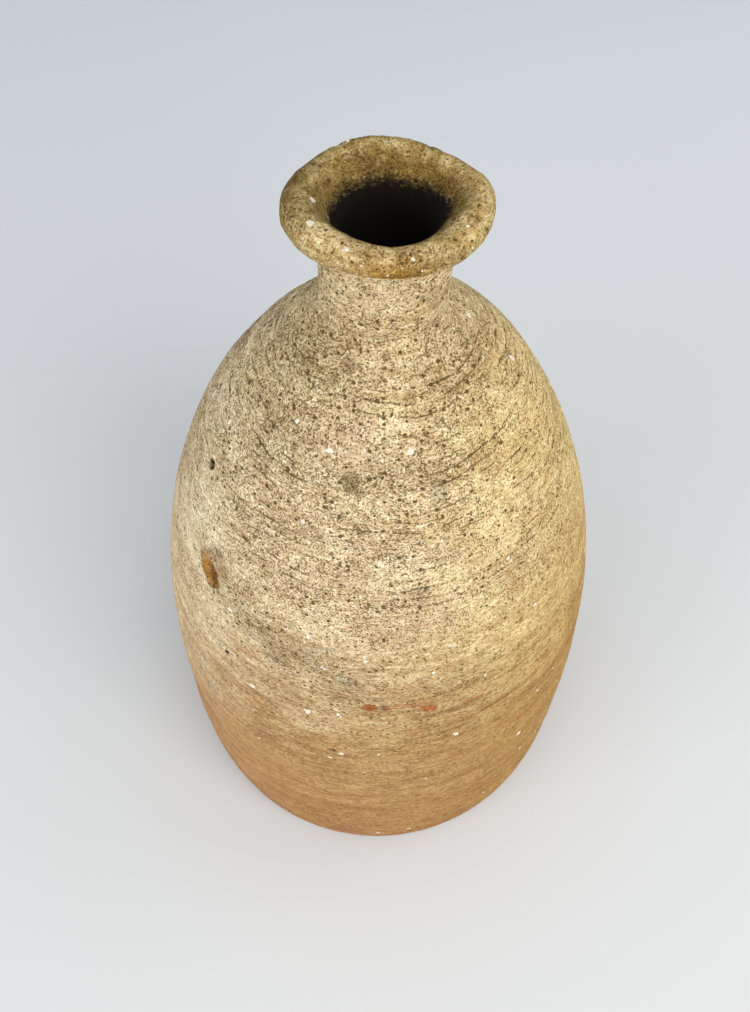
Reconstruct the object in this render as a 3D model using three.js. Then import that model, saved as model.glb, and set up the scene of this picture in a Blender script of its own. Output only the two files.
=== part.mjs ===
// A sake bottle (tokkuri) of coarse unglazed stoneware, standing on its foot.
//
// The potter makes it in rings: a base slab, two wall rings, a closed-in shoulder, a neck
// collar and a folded rim. Each ring is luted to the one below along a level seam, and the
// firing joins them. Each ring is a mesh of its own here, and neighbours meet at a seam.
//
// Millimetres, +Z up. The origin is the middle of the foot, on the surface the bottle stands on.

import * as THREE from "three";

// Overall sizes.
const HEIGHT = 200; // foot to the crest of the rim
const BELLY_RADIUS = 59.7;
const BELLY_HEIGHT = 50; // where the body is widest
const FOOT_RADIUS = 56.4;
const FOOT_BEVEL = 1.6;

// Shoulder: a dome that would close at this depth under the crest of the rim.
const DOME_DROP = 25.8;
const DOME_FULLNESS = 2.3; // above 2 the wall stays upright for longer
const DOME_ROUNDNESS = 1.81; // below 2 the shoulder slopes straighter
const FOOT_TUCK = 3.5; // how late the wall turns in towards the foot
const NECK_FILLET = 15; // blend between shoulder and neck

// Neck and rim.
const NECK_RADIUS = 13.6;
const THROAT_RADIUS = 9.4;
const RIM_RADIUS = 20;
const RIM_HEIGHT = 11.4; // seam under the rim to its crest
const RIM_ROLL = 3.3; // radius of the folded edge
const ROLL_START = -0.95; // angles of the rolled edge's round, from its outermost line
const ROLL_END = 2.2;
const FLARE_BEND = 0.6; // how far up the flare, and the funnel, stay as narrow as the neck
const NECK_HEIGHT = 16; // shoulder seam to the seam under the rim

// Clay thickness.
const BASE_THICKNESS = 9;
const WALL = 6.5;
const SHOULDER_WALL = 6;

// Level seams where one wall ring was set on the next, above the foot.
const BELLY_SEAM = 70;
const SHOULDER_SEAM = 120;

// The hand-made upper part: it leans to one side, and the rim's edge rises and falls.
const LEAN = 1.6; // sideways shift of the crest, towards +X
const LEAN_START = 100; // height where the lean begins
const LEAN_CURVE = 1.5; // 1 is a straight lean, more bends upwards
const RIM_SADDLE = 0.2; // the rim is higher at its sides than at its front and back
const RIM_RIPPLE = 0.7; // three low rises around the rim
const RIM_RIPPLE_TURN = 0.28; // angle of the first rise, in radians from +X towards -Y
const RIM_OVAL = 0.8; // the rim is wider from side to side

// Facets.
const AROUND = 60; // round every ring
const FLARE_STEPS = 4;
const ROLL_STEPS = 9;
const FUNNEL_STEPS = 5;

const rimSeam = HEIGHT - RIM_HEIGHT;
const neckSeam = rimSeam - NECK_HEIGHT;

// Blend of two radii: the larger one, rounded over where they come within the fillet.
function blend(a, b, fillet) {
  const overlap = Math.max(fillet - Math.abs(a - b), 0) / fillet;
  return Math.max(a, b) + (overlap * overlap * fillet) / 4;
}

// Radius at height z of a bottle shape: a tucked-in foot, a belly, a dome and a straight neck.
function bottleRadius(z, belly, foot, domeTop, neck) {
  if (z <= BELLY_HEIGHT) {
    const below = (BELLY_HEIGHT - z) / BELLY_HEIGHT;
    return belly - (belly - foot) * below ** FOOT_TUCK;
  }
  const rise = Math.min((z - BELLY_HEIGHT) / (domeTop - BELLY_HEIGHT), 1);
  const dome = belly * (1 - rise ** DOME_FULLNESS) ** (1 / DOME_ROUNDNESS);
  return blend(dome, neck, Math.min(NECK_FILLET, neck));
}

function outerRadius(z) {
  return bottleRadius(z, BELLY_RADIUS, FOOT_RADIUS, HEIGHT - DOME_DROP, NECK_RADIUS);
}

function innerRadius(z) {
  const domeTop = HEIGHT - DOME_DROP - SHOULDER_WALL;
  return bottleRadius(z, BELLY_RADIUS - WALL, FOOT_RADIUS - WALL, domeTop, THROAT_RADIUS);
}

const smoothStep = (x) => x * x * (3 - 2 * x);

// Moves a point of the true round shape to where the leaning, rippled pot has it.
function throwByHand(point) {
  const turn = Math.atan2(point.y, point.x);
  const inRim = smoothStep(THREE.MathUtils.clamp((point.z - rimSeam) / RIM_HEIGHT, 0, 1));
  const stretch = 1 + inRim * (RIM_OVAL / RIM_RADIUS) * Math.cos(2 * turn);
  const leaning = Math.max(point.z - LEAN_START, 0) / (HEIGHT - LEAN_START);
  const saddle = RIM_SADDLE * Math.cos(2 * turn);
  const ripple = RIM_RIPPLE * Math.cos(3 * (turn + RIM_RIPPLE_TURN));
  point.x = point.x * stretch + LEAN * leaning ** LEAN_CURVE;
  point.y *= stretch;
  point.z += inRim * (saddle + ripple);
  return point;
}

// A closed ring turned from its section, then shaped by hand. The section runs up the outside
// and down the inside, unless it starts and ends on the axis, as a slab's does.
function ring(name, section, material) {
  const closed = section[0].x === 0 ? section : [...section, section[0]];
  const geometry = new THREE.LatheGeometry(closed, AROUND);
  geometry.rotateX(Math.PI / 2);
  const position = geometry.getAttribute("position");
  const point = new THREE.Vector3();
  for (let i = 0; i < position.count; i++) {
    throwByHand(point.fromBufferAttribute(position, i));
    position.setXYZ(i, point.x, point.y, point.z);
  }
  geometry.computeVertexNormals();
  const mesh = new THREE.Mesh(geometry, material);
  mesh.name = name;
  return mesh;
}

// Section of a wall ring between two seams, in a number of steps.
function wallSection(from, to, steps) {
  const outside = [];
  const inside = [];
  for (let i = 0; i <= steps; i++) {
    const z = THREE.MathUtils.lerp(from, to, i / steps);
    outside.push(new THREE.Vector2(outerRadius(z), z));
    inside.unshift(new THREE.Vector2(innerRadius(z), z));
  }
  return [...outside, ...inside];
}

// The base slab: a disc with a bevelled edge, as wide as the wall that stands on it.
function baseSection() {
  return [
    new THREE.Vector2(0, 0),
    new THREE.Vector2(outerRadius(0) - FOOT_BEVEL, 0),
    new THREE.Vector2(outerRadius(FOOT_BEVEL), FOOT_BEVEL),
    new THREE.Vector2(outerRadius(BASE_THICKNESS), BASE_THICKNESS),
    new THREE.Vector2(0, BASE_THICKNESS),
  ];
}

// The rim: the neck flares out into a rolled edge and falls back into the throat as a funnel.
function rimSection() {
  const neck = new THREE.Vector2(outerRadius(rimSeam), rimSeam);
  const throat = new THREE.Vector2(innerRadius(rimSeam), rimSeam);
  const rollCentre = new THREE.Vector2(RIM_RADIUS - RIM_ROLL, HEIGHT - RIM_ROLL);
  const roll = new THREE.EllipseCurve(
    rollCentre.x, rollCentre.y, RIM_ROLL, RIM_ROLL, ROLL_START, ROLL_END,
  );
  const edgeStart = roll.getPoint(0);
  const edgeEnd = roll.getPoint(1);
  const flareBend = new THREE.Vector2(neck.x, THREE.MathUtils.lerp(neck.y, edgeStart.y, FLARE_BEND));
  const funnelBend = new THREE.Vector2(throat.x, THREE.MathUtils.lerp(throat.y, edgeEnd.y, FLARE_BEND));
  const flare = new THREE.QuadraticBezierCurve(neck, flareBend, edgeStart);
  const funnel = new THREE.QuadraticBezierCurve(edgeEnd, funnelBend, throat);
  return [
    ...flare.getPoints(FLARE_STEPS).slice(0, -1),
    ...roll.getPoints(ROLL_STEPS),
    ...funnel.getPoints(FUNNEL_STEPS).slice(1),
  ];
}

function clay(name, color, roughness) {
  return new THREE.MeshStandardMaterial({ name, color, roughness, metalness: 0 });
}

const bottle = new THREE.Group();
bottle.name = "sake_bottle";

bottle.add(ring("base_slab", baseSection(), clay("foot_clay", 0xb98a62, 0.95)));

// Wall rings: name, lower seam, upper seam, steps of the profile, clay.
const rings = [
  ["lower_wall", BASE_THICKNESS, BELLY_SEAM, 4, clay("lower_wall_clay", 0xc79d6f, 0.93)],
  ["belly_wall", BELLY_SEAM, SHOULDER_SEAM, 4, clay("belly_clay", 0xc9ae7e, 0.95)],
  ["shoulder", SHOULDER_SEAM, neckSeam, 7, clay("shoulder_clay", 0xbba47a, 0.96)],
  ["neck_collar", neckSeam, rimSeam, 4, clay("neck_clay", 0xbfa87e, 0.96)],
];
for (const [name, from, to, steps, material] of rings) {
  bottle.add(ring(name, wallSection(from, to, steps), material));
}

bottle.add(ring("rim", rimSection(), clay("rim_clay", 0xb59c70, 0.94)));

export default bottle;
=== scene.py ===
import itertools

import bmesh
import bpy
import numpy as np
from bpy.props import FloatProperty, FloatVectorProperty, IntProperty, PointerProperty
from mathutils import Matrix, Vector


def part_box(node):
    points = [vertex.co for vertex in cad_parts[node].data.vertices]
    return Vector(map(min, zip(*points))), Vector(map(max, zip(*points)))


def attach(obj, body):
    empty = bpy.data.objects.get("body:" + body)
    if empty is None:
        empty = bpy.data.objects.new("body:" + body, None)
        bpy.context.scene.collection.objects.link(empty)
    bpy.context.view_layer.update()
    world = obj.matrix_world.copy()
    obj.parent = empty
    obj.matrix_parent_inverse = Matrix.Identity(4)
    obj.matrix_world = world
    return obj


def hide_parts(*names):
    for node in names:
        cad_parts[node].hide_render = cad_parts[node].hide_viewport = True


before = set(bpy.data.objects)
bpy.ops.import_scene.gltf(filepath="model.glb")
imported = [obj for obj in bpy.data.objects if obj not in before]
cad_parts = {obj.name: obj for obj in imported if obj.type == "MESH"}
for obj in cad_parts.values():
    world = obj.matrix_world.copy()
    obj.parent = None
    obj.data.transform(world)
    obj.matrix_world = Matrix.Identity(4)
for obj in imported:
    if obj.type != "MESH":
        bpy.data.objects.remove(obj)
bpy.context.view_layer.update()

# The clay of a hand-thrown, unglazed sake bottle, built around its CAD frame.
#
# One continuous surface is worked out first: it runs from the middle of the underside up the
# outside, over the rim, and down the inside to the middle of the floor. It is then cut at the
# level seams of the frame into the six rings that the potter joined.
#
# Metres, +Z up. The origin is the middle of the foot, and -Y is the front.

bl_info = {
    "name": "Stoneware Sake Bottle",
    "version": (1, 0, 0),
    "blender": (4, 5, 0),
    "location": "View3D > Sidebar > Sake Bottle",
    "description": "Builds the visible clay of a hand-thrown sake bottle around its CAD frame",
    "category": "Object",
}

MM = 0.001
SEAMS = {
    "floor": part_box("lower_wall")[0].z,
    "belly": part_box("belly_wall")[0].z,
    "shoulder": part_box("shoulder")[0].z,
    "neck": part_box("neck_collar")[0].z,
    "rim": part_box("neck_collar")[1].z,
}


# ---------------------------------------------------------------- settings


def length(name, description, default):
    return FloatProperty(name=name, description=description, default=default, unit="LENGTH", precision=5)


def number(name, description, default):
    return FloatProperty(name=name, description=description, default=default)


def power(name, description, default):
    return FloatProperty(name=name, description=description, default=default, unit="POWER")


def colour(name, description, default):
    return FloatVectorProperty(
        name=name, description=description, default=default, subtype="COLOR", size=3, min=0, max=1
    )


class BottleSizes(bpy.types.PropertyGroup):
    """The round shape of the bottle and how far the hand moved it."""

    height: length("Height", "Foot to the crest of the rim", SEAMS["rim"] + 11.4 * MM)
    belly_radius: length("Belly radius", "Half the greatest width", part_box("lower_wall")[1].x)
    belly_height: length("Belly height", "Where the body is widest", 50 * MM)
    foot_radius: length("Foot radius", "Half the width at the foot", 56.4 * MM)
    foot_round: length("Foot round", "Size of the rounded edge under the wall", 1.8 * MM)
    foot_tuck: number("Foot tuck", "How late the wall turns in towards the foot", 3.5)
    dome_drop: length("Dome drop", "Depth under the crest where the shoulder would close", 25.8 * MM)
    dome_fullness: number("Dome fullness", "Above 2 the wall stays upright for longer", 2.3)
    dome_roundness: number("Dome roundness", "Below 2 the shoulder slopes straighter", 1.81)
    neck_fillet: length("Neck fillet", "Blend between shoulder and neck", 15 * MM)
    neck_radius: length("Neck radius", "Half the outer width of the neck", 13.6 * MM)
    throat_radius: length("Throat radius", "Half the bore", 9.4 * MM)
    wall: length("Wall", "Thickness of the body", 6.5 * MM)
    shoulder_wall: length("Shoulder wall", "Thickness under the top of the shoulder", 6 * MM)
    rim_radius: length("Rim radius", "Half the width of the rim", 20 * MM)
    rim_roll: length("Rim roll", "Radius of the folded edge", 3.3 * MM)
    roll_start: number("Roll start", "Angle from its outermost line where the fold starts", -0.95)
    roll_end: number("Roll end", "Angle from its outermost line where the fold ends", 2.2)
    flare_bend: number("Flare bend", "Share of the flare that stays as narrow as the neck", 0.6)
    lean: length("Lean", "Sideways shift of the crest", 1.6 * MM)
    lean_start: length("Lean start", "Height where the lean begins", 100 * MM)
    lean_curve: number("Lean curve", "Above 1 the lean bends upwards", 1.5)
    rim_saddle: length("Rim saddle", "How much higher the rim is at its sides", 0.2 * MM)
    rim_ripple: length("Rim ripple", "Three low rises around the rim", 0.7 * MM)
    rim_ripple_turn: number("Ripple turn", "Angle of the first rise", 0.28)
    rim_oval: length("Rim oval", "How much wider the rim is from side to side", 0.8 * MM)
    rim_back: length("Rim back", "How much the back of the lip is pulled up", 0.5 * MM)


class ClaySurface(bpy.types.PropertyGroup):
    """How coarse the clay is, and how finely it is modelled."""

    around: IntProperty(name="Around", description="Points round every ring", default=600)
    wall_step: length("Wall step", "Spacing of the rows up the wall", 0.6 * MM)
    rim_step: length("Rim step", "Spacing of the rows over the rim", 0.36 * MM)
    inside_step: length("Inside step", "Spacing of the rows inside", 2.4 * MM)
    throwing_depth: length("Throwing depth", "Height of the fine throwing lines", 0.085 * MM)
    finger_depth: length("Finger depth", "Height of the broad finger rings", 0.16 * MM)
    sand_depth: length("Sand depth", "Height of the sandy grain", 0.06 * MM)
    pit_depth: length("Pit depth", "Depth of the small open pits", 0.22 * MM)
    lip_lump: length("Lip lumps", "Height of the lumps on the lip", 0.24 * MM)
    grain_seed: IntProperty(name="Grain seed", description="Layout of the white grains", default=12)


class ClayColours(bpy.types.PropertyGroup):
    """Colours of the fired clay."""

    clay: colour("Clay", "Buff body of the clay", (0.62, 0.505, 0.315))
    pale: colour("Pale clay", "Palest sand", (0.86, 0.77, 0.58))
    olive: colour("Olive grains", "Darker grains of the sand", (0.29, 0.21, 0.085))
    pink: colour("Pink grains", "Pinkish grains of the sand", (0.56, 0.36, 0.23))
    speck: colour("Speck", "Dark grains and open pits", (0.066, 0.040, 0.014))
    ash: colour("Ash tone", "Tones the clay down where ash settled", (0.72, 0.70, 0.65))
    warm: colour("Warm tone", "Golden tone towards the fire", (1.0, 0.95, 0.70))
    blush: colour("Blush tone", "Orange flush of the lower body", (0.93, 0.79, 0.72))
    foot: colour("Foot tone", "Browner clay towards the foot", (0.63, 0.495, 0.335))
    ochre: colour("Ochre tone", "Ochre of the lip", (0.72, 0.56, 0.25))
    lip: colour("Lip tone", "Yellower clay of the lip", (0.92, 0.895, 0.76))
    # The funnel tone is also used as painted shade on the back of the lip.
    funnel: colour("Funnel tone", "Browner clay inside the lip", (0.50, 0.46, 0.31))
    brick: colour("Brick", "Iron-red streaks", (0.36, 0.10, 0.03))
    grain: colour("White grain", "Feldspar and quartz", (0.68, 0.61, 0.51))
    # Painted shade: nearly black, it stands in for the shade in the throat and the inside.
    inside: colour("Inside", "Dark inside of the throat", (0.006, 0.004, 0.002))
    floor: colour("Studio floor", "Pale floor", (0.56, 0.565, 0.565))
    floor_far: colour("Floor behind", "Cooler floor behind the bottle", (0.56, 0.575, 0.60))


class StudioSettings(bpy.types.PropertyGroup):
    """Camera and lights."""

    lens_mm: number("Lens", "Focal length in mm", 35.57)
    camera_distance: length("Camera distance", "In front of the bottle's axis", 159.5 * MM)
    camera_height: length("Camera height", "Above the floor", 317.1 * MM)
    camera_side: length("Camera side", "To the right of the axis", -0.82 * MM)
    camera_tilt: FloatProperty(
        name="Camera tilt", description="Up from straight down", default=0.63355, subtype="ANGLE"
    )
    key_power: power("Key light", "Big soft light from the front right", 12)
    fill_power: power("Fill light", "Soft light from the front left", 9)
    side_power: power("Side light", "Weak soft light from the right", 1.8)
    sky_strength: number("Sky", "Strength of the plain pale surroundings", 0.75)


# ---------------------------------------------------------------- noise and shapes


LATTICE_MIX = np.array([374761393, 668265263, 2147483647])  # large odd numbers, one for each axis


def smooth(x, low=0.0, high=1.0):
    """0 below low, 1 above high, and a smooth rise between them."""
    t = np.clip((x - low) / (high - low), 0, 1)
    return t * t * (3 - 2 * t)


def noise(points, seed):
    """A smooth random field from -1 to 1 that changes over a distance of about 1."""
    points = points + seed * 17.31
    cell = np.floor(points).astype(np.int64)
    part = points - cell
    fade = part**3 * (part * (part * 6 - 15) + 10)
    total = np.zeros(points.shape[:-1])
    for corner in itertools.product((0, 1), repeat=3):
        mixed = ((cell + corner) * LATTICE_MIX).sum(axis=-1)
        mixed = (mixed ^ (mixed >> 13)) * 1274126177
        value = ((mixed ^ (mixed >> 16)) & 0xFFFF) / 32767.5 - 1
        total += value * np.prod(np.where(corner, fade, 1 - fade), axis=-1)
    return total


def rounded_max(a, b, fillet):
    """The larger of two radii, rounded over where they come within the fillet."""
    overlap = np.maximum(fillet - np.abs(a - b), 0) / fillet
    return np.maximum(a, b) + overlap**2 * fillet / 4


def bottle_radius(z, sizes, belly, foot, dome_top, neck):
    """Radius at height z: a tucked-in foot, a belly, a dome and a straight neck."""
    below = np.clip((sizes.belly_height - z) / sizes.belly_height, 0, 1)
    lower = belly - (belly - foot) * below**sizes.foot_tuck
    rise = np.clip((z - sizes.belly_height) / (dome_top - sizes.belly_height), 0, 1)
    dome = belly * (1 - rise**sizes.dome_fullness) ** (1 / sizes.dome_roundness)
    upper = rounded_max(dome, neck, min(sizes.neck_fillet, neck))
    return np.where(z <= sizes.belly_height, lower, upper)


def outer_radius(z, sizes):
    dome_top = sizes.height - sizes.dome_drop
    return bottle_radius(z, sizes, sizes.belly_radius, sizes.foot_radius, dome_top, sizes.neck_radius)


def inner_radius(z, sizes):
    dome_top = sizes.height - sizes.dome_drop - sizes.shoulder_wall
    belly = sizes.belly_radius - sizes.wall
    foot = sizes.foot_radius - sizes.wall
    return bottle_radius(z, sizes, belly, foot, dome_top, sizes.throat_radius)


def bezier(start, bend, end, count=40):
    t = np.linspace(0, 1, count)[:, None]
    return (1 - t) ** 2 * np.array(start) + 2 * t * (1 - t) * np.array(bend) + t**2 * np.array(end)


def resample(points, spacing):
    """The same curve with evenly spaced points, its ends kept."""
    along = np.concatenate([[0], np.cumsum(np.hypot(*np.diff(points, axis=0).T))])
    count = max(2, round(along[-1] / spacing) + 1)
    at = np.linspace(0, along[-1], count)
    return np.column_stack([np.interp(at, along, points[:, k]) for k in (0, 1)])


def wall_curve(radius, low, high, sizes):
    z = np.linspace(low, high, 400)
    return np.column_stack([radius(z, sizes), z])


def rim_curve(sizes):
    """The rim's section, from the seam up the flare, round the fold and down into the throat."""
    seam = SEAMS["rim"]
    centre = np.array([sizes.rim_radius - sizes.rim_roll, sizes.height - sizes.rim_roll])
    turn = np.linspace(sizes.roll_start, sizes.roll_end, 60)
    roll = centre + sizes.rim_roll * np.column_stack([np.cos(turn), np.sin(turn)])
    neck = np.array([outer_radius(seam, sizes), seam])
    throat = np.array([inner_radius(seam, sizes), seam])
    flare_bend = [neck[0], seam + sizes.flare_bend * (roll[0, 1] - seam)]
    funnel_bend = [throat[0], seam + sizes.flare_bend * (roll[-1, 1] - seam)]
    flare = bezier(neck, flare_bend, roll[0])
    funnel = bezier(roll[-1], funnel_bend, throat)
    return np.concatenate([flare[:-1], roll, funnel[1:]])


def section(sizes, surface):
    """The whole section as one run of points, and the row where each stretch of it starts."""
    foot_wall = SEAMS["floor"]
    edge = sizes.foot_round
    turn = np.linspace(-np.pi / 2, 0, 12)
    corner = np.array([outer_radius(edge, sizes) - edge, edge])
    rounded = corner + edge * np.column_stack([np.cos(turn), np.sin(turn)])
    centre = 1 * MM
    under_step = 1.2 * MM
    edge_step = 0.35 * MM
    stretches = [
        ("underside", np.array([[centre, 0], rounded[0]]), under_step),
        ("foot_edge", rounded, edge_step),
        ("foot_outside", wall_curve(outer_radius, edge, foot_wall, sizes), surface.wall_step),
    ]
    levels = list(SEAMS.values())
    walls = list(zip(("lower", "belly", "shoulder", "neck"), levels, levels[1:]))
    for name, low, high in walls:
        outside = wall_curve(outer_radius, low, high, sizes)
        stretches.append((name + "_outside", outside, surface.wall_step))
    stretches.append(("rim", rim_curve(sizes), surface.rim_step))
    for name, low, high in reversed(walls):
        inside = wall_curve(inner_radius, low, high, sizes)[::-1]
        stretches.append((name + "_inside", inside, surface.inside_step))
    floor = np.array([[inner_radius(foot_wall, sizes), foot_wall], [centre, foot_wall]])
    stretches.append(("floor", floor, surface.inside_step))
    rows = []
    starts = {}
    for name, curve, spacing in stretches:
        starts[name] = max(sum(len(r) for r in rows) - 1, 0)
        run = resample(curve, spacing)
        rows.append(run if not rows else run[1:])
    points = np.concatenate(rows)
    starts["end"] = len(points) - 1
    return points, starts


# ---------------------------------------------------------------- marks that the pot has collected

OCHRE = (0.32, 0.15, 0.03)
# Painted shade: near black for the insides of the pinholes and the slit.
HOLE_SHADE = (0.012, 0.008, 0.006)
TAN = (0.50, 0.26, 0.09)
CREAM = (0.86, 0.74, 0.53)
RUST = (0.42, 0.12, 0.03)
DARK_RUST = (0.10, 0.03, 0.01)
GREY = (0.36, 0.27, 0.14)
UMBER = (0.09, 0.035, 0.006)
IRON = (0.33, 0.15, 0.08)

# Each mark: name, degrees round from the front towards +X, height, width, tallness, depth (above 0 it is
# sunk), tilt in degrees, and the colour and strength of its stains, which are painted shade in the pinholes
# and the slit.
MARKS = [
    ("chip", -51.8, 116.6, 5.6, 9.4, 1.4, 50, OCHRE, 1.0),
    ("chip_core", -51.3, 116.0, 2.6, 6.4, 0.5, 50, UMBER, 0.65),
    ("chip_stain", -50.0, 120.2, 9.0, 8.0, 0.0, 30, TAN, 0.4),
    # The pinhole and the slit are painted near black as shade in the holes.
    ("pinhole", -66.3, 139.1, 2.8, 2.0, 1.6, 0, HOLE_SHADE, 1.0),
    ("slit", -42.4, 95.5, 1.3, 3.0, 0.6, 40, HOLE_SHADE, 0.85),
    ("slit_edge", -43.6, 96.6, 2.4, 3.2, -0.12, 40, CREAM, 0.7),
    ("round_scar", 19.7, 150.0, 4.0, 2.9, 0.15, 0, CREAM, 0.35),
    ("ring_pit", 1.6, 172.2, 1.7, 1.3, 0.35, 0, GREY, 0.8),
    ("tan_scar", -11.2, 152.8, 3.6, 3.6, 0.18, 30, GREY, 0.6),
    ("tan_scar_small", -7.5, 151.0, 2.2, 1.5, 0.12, 0, GREY, 0.5),
    ("iron_left", -24.0, 170.0, 3.2, 2.4, 0.1, 0, IRON, 0.3),
    ("iron_right", 14.5, 166.0, 2.6, 2.0, 0.1, 0, IRON, 0.3),
    ("brick_front", -2.4, 94.7, 3.4, 2.4, 0.0, 0, RUST, 0.75),
    ("brick_front_two", 2.0, 94.2, 1.8, 1.6, 0.0, 0, RUST, 0.6),
    ("brick_right", 12.6, 92.7, 4.0, 2.6, 0.0, -12, RUST, 0.85),
    ("brick_dot", 39.1, 110.8, 1.8, 1.8, 0.0, 0, RUST, 0.7),
    ("brick_streak", 20.5, 89.8, 22.0, 1.6, 0.0, 4, RUST, 0.35),
    ("rust_streak_low", 15.0, 80.0, 20.0, 1.1, 0.0, 3, RUST, 0.4),
    ("rust_streak_right", 31.0, 84.5, 12.0, 1.2, 0.0, 6, RUST, 0.4),
    ("rust_streak_left", -30.0, 86.0, 10.0, 1.4, 0.0, -14, RUST, 0.35),
    ("brown_dot", -11.6, 72.6, 2.2, 1.2, 0.3, 0, DARK_RUST, 0.9),
    ("pale_run_left", -52.4, 77.5, 3.0, 8.0, -0.1, 0, CREAM, 0.55),
    ("pale_run_left_two", -49.5, 68.5, 3.2, 7.0, -0.1, 0, CREAM, 0.5),
    ("smear_front", -14.9, 113.0, 6.5, 1.4, -0.05, 25, CREAM, 0.55),
    ("smear_middle", 10.9, 130.7, 8.0, 1.2, -0.04, 0, CREAM, 0.45),
    ("pale_scar", -17.0, 108.5, 2.2, 5.5, -0.05, 40, CREAM, 0.6),
    ("pale_scar_two", -8.5, 104.5, 5.0, 2.6, -0.05, -10, CREAM, 0.5),
    ("pale_scar_three", -28.0, 104.5, 4.0, 3.0, 0.0, 0, CREAM, 0.35),
    ("back_scar", 160.0, 104.0, 4.0, 2.4, 0.2, 25, TAN, 0.3),
    ("back_flush", 118.0, 92.0, 16.0, 11.0, 0.0, 10, TAN, 0.35),
    # Painted shade in this pinhole too.
    ("back_pinhole", -150.0, 132.0, 1.6, 1.6, 0.9, 0, HOLE_SHADE, 0.9),
]

# Broad tones left by the fire, and one painted highlight under the lip: kind, degrees from the front,
# height, width, tallness, tilt, strength.
PATCHES = [
    ("ash", -22, 108.3, 38, 11, -22, 0.9),
    ("ash", -40, 114.5, 13, 14, 0, 0.45),
    ("ash", -52, 168.0, 24, 13, 0, 0.7),
    ("ash", -40, 155.0, 22, 14, 0, 0.5),
    ("ash", 44, 167.0, 20, 10, 0, 0.4),
    ("ash", 16, 154.0, 30, 6, 0, 0.4),
    ("ash", 66, 196.0, 24, 10, 0, 0.7),
    ("ash", 24, 101.0, 26, 12, 10, 0.35),
    ("ash", -6, 97.0, 36, 6, 0, 0.35),
    ("ash", 170, 140.0, 50, 26, 10, 0.55),
    ("ash", 128, 98.0, 34, 18, -15, 0.6),
    ("ash", -132, 150.0, 32, 16, 0, 0.6),
    ("ash", -105, 108.0, 28, 16, 20, 0.4),
    ("ash", 32, 196.0, 16, 10, 0, 0.8),
    # Painted highlight: lightens the front of the neck under the lip, where the lip's shadow falls.
    ("pale", 0, 185.0, 20, 7, 0, 0.4),
    ("pale", 2, 163.0, 16, 12, 0, 0.25),
    ("pale", 20, 130.0, 50, 24, 0, 0.3),
    ("pale", 44, 140.0, 20, 12, 0, 0.4),
    ("pale", -62, 124.0, 24, 26, 0, 0.8),
    ("pale", 155, 118.0, 40, 20, 0, 0.4),
    ("pale", -48, 45.0, 50, 60, 0, 0.55),
    ("ochre", 2, 196.0, 14, 8, 0, 1.0),
    ("ochre", 138, 196.0, 20, 9, 0, 0.6),
    ("ochre", -150, 196.0, 16, 9, 0, 0.3),
]

# Grooves scored into the shoulder as it was turned: degrees from and to, height at each end,
# width and depth.
GROOVES = [
    (-30, 46, 153.4, 155.0, 0.9, 0.16),
    (-12, 34, 150.9, 151.4, 0.8, 0.12),
    (-62, -36, 169.2, 167.2, 0.8, 0.20),
    (-8, 30, 164.6, 163.6, 0.7, 0.12),
    (4, 24, 159.7, 158.3, 0.7, 0.13),
    (-60, -20, 146.0, 141.5, 0.7, 0.10),
    (20, 70, 158.0, 160.5, 0.8, 0.13),
    (-10, 60, 143.8, 146.5, 0.7, 0.10),
    (100, 190, 150.5, 152.0, 0.8, 0.14),
    (130, 230, 160.5, 158.8, 0.8, 0.13),
    (-40, 30, 136.5, 137.8, 0.6, 0.08),
]


def distance_from(turn, height, radius, degrees, level, width, tall, tilt):
    """Distance from the middle of a tilted oval, counted so that its edge is at 1."""
    aside = (turn - np.radians(degrees - 90) + np.pi) % (2 * np.pi) - np.pi
    across = aside * radius
    up = height - level * MM
    lean = np.radians(tilt)
    long_way = up * np.cos(lean) - across * np.sin(lean)
    short_way = up * np.sin(lean) + across * np.cos(lean)
    return np.hypot(short_way / (width * MM / 2), long_way / (tall * MM / 2))


def groove_depth(turn, height, wobble):
    """Depth of all the grooves at each point."""
    depth = np.zeros_like(turn)
    for start, end, low, high, width, deep in GROOVES:
        degrees = (np.degrees(turn) + 90 - start + 20) % 360 + start - 20
        along = (degrees - start) / (end - start)
        level = (low + (high - low) * along) * MM + wobble * 0.5 * MM
        ends = smooth(along, 0, 0.15) * smooth(1 - along, 0, 0.15)
        near = np.exp(-(((height - level) / (width * MM / 2)) ** 2))
        depth += deep * MM * near * ends
    return depth


# ---------------------------------------------------------------- the surface


# Where the hand left the round shape.
SLOW_WAVES = 0.30 * MM  # broad unevenness of the whole body
SHOULDER_BULGE = 0.9 * MM  # most on the right
BULGE_LEVEL = 159 * MM
FOOT_TRIM = 0.35 * MM  # taken off the right of the foot
LIP_TRIM = 0.8 * MM  # taken off the underside of the lip at the front
THROWING_RINGS_INSIDE = 0.5 * MM
COIL_SPACING = 2.6 * MM  # of the spiral left on the underside
COIL_HEIGHT = 0.14 * MM
UNDERSIDE_SUNK = 0.35 * MM  # inside the outer ring that it stands on
BACK_OF_LIP = np.radians(96)  # where the lip is pulled up most, from +X
BACK_WIDTH = np.radians(27)


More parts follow.
